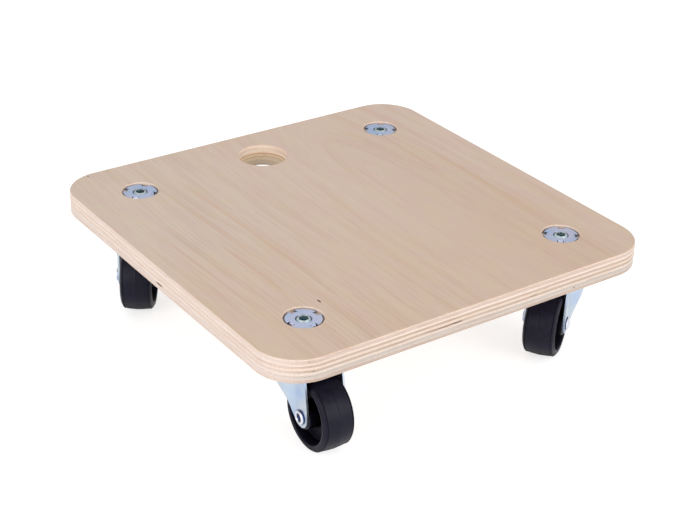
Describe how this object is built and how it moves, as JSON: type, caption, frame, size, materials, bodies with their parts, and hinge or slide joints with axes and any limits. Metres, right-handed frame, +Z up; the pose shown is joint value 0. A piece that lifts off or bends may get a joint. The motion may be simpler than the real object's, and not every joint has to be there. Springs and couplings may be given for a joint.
{
  "type": "furniture dolly",
  "caption": "Small square plywood dolly on swivel casters, with let-in tee nuts at its corners and a round grip hole near one edge.",
  "frame": {"origin": "on the floor under the deck's centre", "axes": "+Z up, +Y towards the edge with the grip hole, +X along that edge to the right seen from the opposite side"},
  "size_m": [0.3, 0.3019, 0.0815],
  "materials": {
    "plywood": "matte",
    "zinc_steel": "satin zinc plating",
    "bearing_steel": "polished",
    "black_plastic": "satin"
  },
  "bodies": {
    "deck_assembly": {"deck": "plywood", "tee_nut_fl": "zinc_steel", "stem_fl": "zinc_steel", "top_race_fl": "zinc_steel", "lower_race_fl": "zinc_steel", "tee_nut_fr": "zinc_steel", "stem_fr": "zinc_steel", "top_race_fr": "zinc_steel", "lower_race_fr": "zinc_steel", "tee_nut_rl": "zinc_steel", "stem_rl": "zinc_steel", "top_race_rl": "zinc_steel", "lower_race_rl": "zinc_steel", "tee_nut_rr": "zinc_steel", "stem_rr": "zinc_steel", "top_race_rr": "zinc_steel", "lower_race_rr": "zinc_steel"},
    "swivel_fl": {"fork_fl": "zinc_steel", "upper_balls_fl": "bearing_steel", "lower_balls_fl": "bearing_steel", "axle_fl": "zinc_steel", "sleeve_fl": "zinc_steel"},
    "wheel_fl": {"wheel_fl": "black_plastic"},
    "swivel_fr": {"fork_fr": "zinc_steel", "upper_balls_fr": "bearing_steel", "lower_balls_fr": "bearing_steel", "axle_fr": "zinc_steel", "sleeve_fr": "zinc_steel"},
    "wheel_fr": {"wheel_fr": "black_plastic"},
    "swivel_rl": {"fork_rl": "zinc_steel", "upper_balls_rl": "bearing_steel", "lower_balls_rl": "bearing_steel", "axle_rl": "zinc_steel", "sleeve_rl": "zinc_steel"},
    "wheel_rl": {"wheel_rl": "black_plastic"},
    "swivel_rr": {"fork_rr": "zinc_steel", "upper_balls_rr": "bearing_steel", "lower_balls_rr": "bearing_steel", "axle_rr": "zinc_steel", "sleeve_rr": "zinc_steel"},
    "wheel_rr": {"wheel_rr": "black_plastic"}
  },
  "joints": [
    {"name": "swivel_fl", "type": "hinge", "parent": "deck_assembly", "child": "swivel_fl", "pos_m": [-0.1055, -0.1055, 0.057], "axis": [0, 0, 1], "continuous": true},
    {"name": "roll_fl", "type": "hinge", "parent": "swivel_fl", "child": "wheel_fl", "pos_m": [-0.10643, -0.12688, 0.025], "axis": [0.999, -0.0436, 0], "continuous": true},
    {"name": "swivel_fr", "type": "hinge", "parent": "deck_assembly", "child": "swivel_fr", "pos_m": [0.1055, -0.1055, 0.057], "axis": [0, 0, 1], "continuous": true},
    {"name": "roll_fr", "type": "hinge", "parent": "swivel_fr", "child": "wheel_fr", "pos_m": [0.08793, -0.11771, 0.025], "axis": [0.5707, -0.8211, 0], "continuous": true},
    {"name": "swivel_rl", "type": "hinge", "parent": "deck_assembly", "child": "swivel_rl", "pos_m": [-0.1055, 0.1055, 0.057], "axis": [0, 0, 1], "continuous": true},
    {"name": "roll_rl", "type": "hinge", "parent": "swivel_rl", "child": "wheel_rl", "pos_m": [-0.11784, 0.08801, 0.025], "axis": [0.8171, -0.5764, 0], "continuous": true},
    {"name": "swivel_rr", "type": "hinge", "parent": "deck_assembly", "child": "swivel_rr", "pos_m": [0.1055, 0.1055, 0.057], "axis": [0, 0, 1], "continuous": true},
    {"name": "roll_rr", "type": "hinge", "parent": "swivel_rr", "child": "wheel_rr", "pos_m": [0.08503, 0.11176, 0.025], "axis": [-0.2924, -0.9563, 0], "continuous": true}
  ]
}
